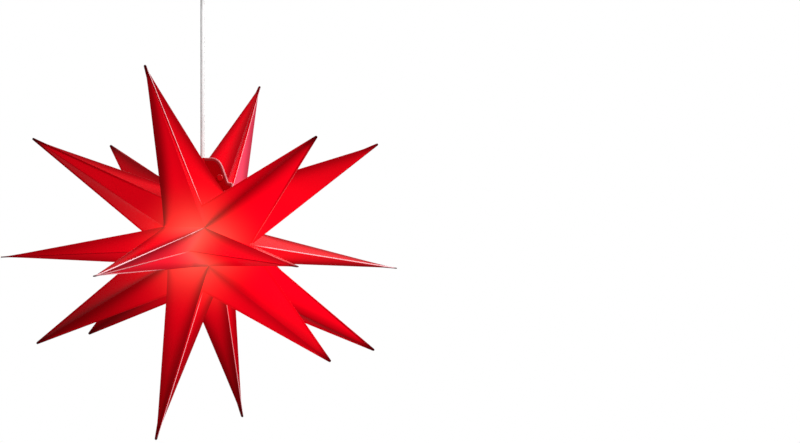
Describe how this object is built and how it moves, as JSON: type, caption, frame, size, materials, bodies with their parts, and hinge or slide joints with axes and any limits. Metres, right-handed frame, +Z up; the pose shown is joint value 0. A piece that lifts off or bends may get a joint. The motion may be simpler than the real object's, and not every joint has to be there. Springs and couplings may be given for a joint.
{
  "type": "moravian star pendant",
  "caption": "Folding many-pointed star lampshade of red translucent sheet, hung from a ceiling cup on a white cord, with a small lamp inside.",
  "frame": {"origin": "on the ceiling, in the middle between the two screw holes of the ceiling bar", "axes": "+Z up, +X along the star's pole-to-pole axis, -Y towards the side of the front flap"},
  "size_m": [0.4559, 0.5627, 0.671],
  "materials": {
    "red_sheet": "satin translucent polypropylene sheet",
    "red_stud": "smooth moulded",
    "zinc_steel": "zinc plated",
    "white_plastic": "smooth moulded",
    "clear_plastic": "milky moulded",
    "brass": "pressed",
    "cord_sheath": "smooth extruded",
    "core_insulation": "extruded",
    "carrier_ceramic": "unglazed",
    "frosted_globe": "frosted",
    "lamp_plastic": "smooth moulded",
    "lamp_nickel": "pressed",
    "lamp_eyelet": "black glass insulator"
  },
  "bodies": {
    "ceiling": {"ceiling_bar": "zinc_steel", "canopy_cup": "white_plastic", "lock_nuts": "zinc_steel", "threaded_tube": "zinc_steel", "cord_grip": "white_plastic", "grip_screw": "white_plastic", "terminal_block": "clear_plastic", "terminal_screws": "brass", "cord_upper": "cord_sheath", "upper_cores": "core_insulation"},
    "bend": {"cord_bend": "cord_sheath"},
    "hanging": {"cord": "cord_sheath", "cord_clamp": "white_plastic", "clamp_screw": "white_plastic", "holder_cap": "white_plastic", "holder_skirt": "white_plastic", "contact_carrier": "carrier_ceramic", "screw_shell": "brass", "centre_contact": "brass", "holder_cores": "core_insulation"},
    "star": {"leaf_01": "red_sheet", "leaf_02": "red_sheet", "leaf_03": "red_sheet", "leaf_04": "red_sheet", "leaf_05": "red_sheet", "leaf_06": "red_sheet", "leaf_07": "red_sheet", "leaf_08": "red_sheet", "leaf_09": "red_sheet", "leaf_10": "red_sheet", "leaf_11": "red_sheet", "leaf_12": "red_sheet"},
    "front_flap": {"flap_front": "red_sheet", "stud_caps": "red_stud"},
    "back_flap": {"flap_back": "red_sheet", "stud_sockets": "red_stud"},
    "lamp": {"lamp_globe": "frosted_globe", "lamp_housing": "lamp_plastic", "lamp_base": "lamp_nickel", "lamp_eyelet": "lamp_eyelet"}
  },
  "joints": [
    {"name": "swing_side", "type": "hinge", "parent": "ceiling", "child": "bend", "pos_m": [0, 0, -0.0604], "axis": [0, 1, 0], "range_deg": [-12, 12]},
    {"name": "swing_fore", "type": "hinge", "parent": "bend", "child": "hanging", "pos_m": [0, 0, -0.0724], "axis": [1, 0, 0], "range_deg": [-12, 12]},
    {"name": "star_turn", "type": "hinge", "parent": "hanging", "child": "star", "pos_m": [0, 0, -0.34], "axis": [0, 0, 1], "range_deg": [-180, 180]},
    {"name": "front_flap_hinge", "type": "hinge", "parent": "star", "child": "front_flap", "pos_m": [0.0017, -0.00055, -0.33859], "axis": [0.9997, 0, -0.0232], "range_deg": [0, 20]},
    {"name": "back_flap_hinge", "type": "hinge", "parent": "star", "child": "back_flap", "pos_m": [0.0017, 0.00055, -0.33859], "axis": [-0.9997, 0, 0.0232], "range_deg": [0, 20]},
    {"name": "lamp_unscrew", "type": "slide", "parent": "hanging", "child": "lamp", "axis": [0, 0, -1], "range_m": [0, 0.004]}
  ]
}
